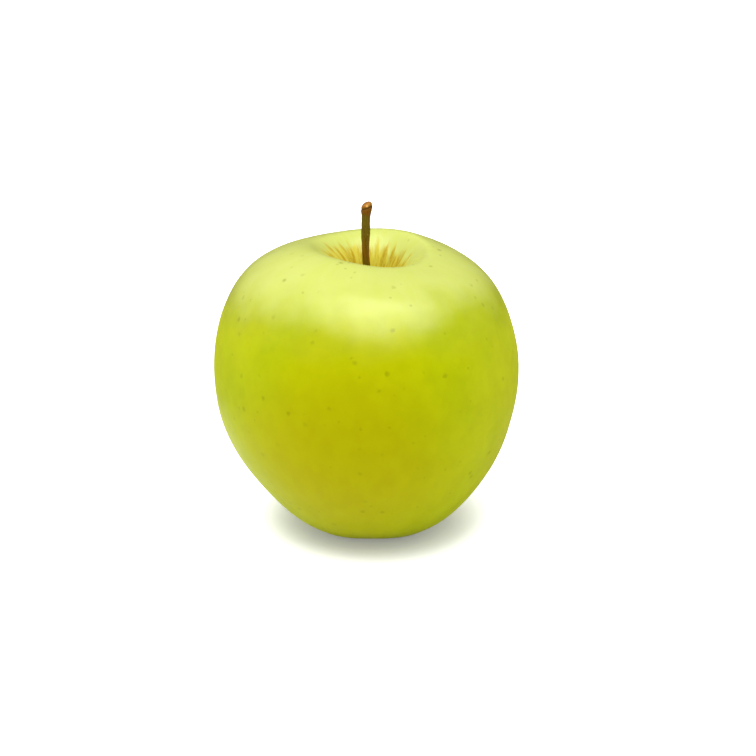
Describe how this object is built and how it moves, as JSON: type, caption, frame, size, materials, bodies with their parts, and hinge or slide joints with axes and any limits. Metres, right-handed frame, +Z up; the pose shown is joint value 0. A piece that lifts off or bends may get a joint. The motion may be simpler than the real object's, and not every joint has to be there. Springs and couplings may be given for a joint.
{
  "type": "whole apple",
  "caption": "Whole yellow-green dessert fruit with a deep stem cavity, uneven shoulders and a tapering foot, its woody stem standing in the cavity and its dried calyx in the basin below.",
  "frame": {"origin": "middle of the foot, on the surface that the fruit stands on, under the middle of its bounding box", "axes": "+Z up along the stem; -Y is the side that the picture shows; +X is to the right in the picture"},
  "size_m": [0.075, 0.0751, 0.0811],
  "materials": {
    "skin": "waxy satin skin, yellow-green with small soft dots, russet streaks in the stem cavity",
    "stem_wood": "satin brown bark, glossier at the knob",
    "dried_sepal": "dull dry leaf with a little grey down"
  },
  "bodies": {
    "root": {"fruit": "skin", "stem": "stem_wood", "calyx": "dried_sepal"}
  },
  "joints": []
}
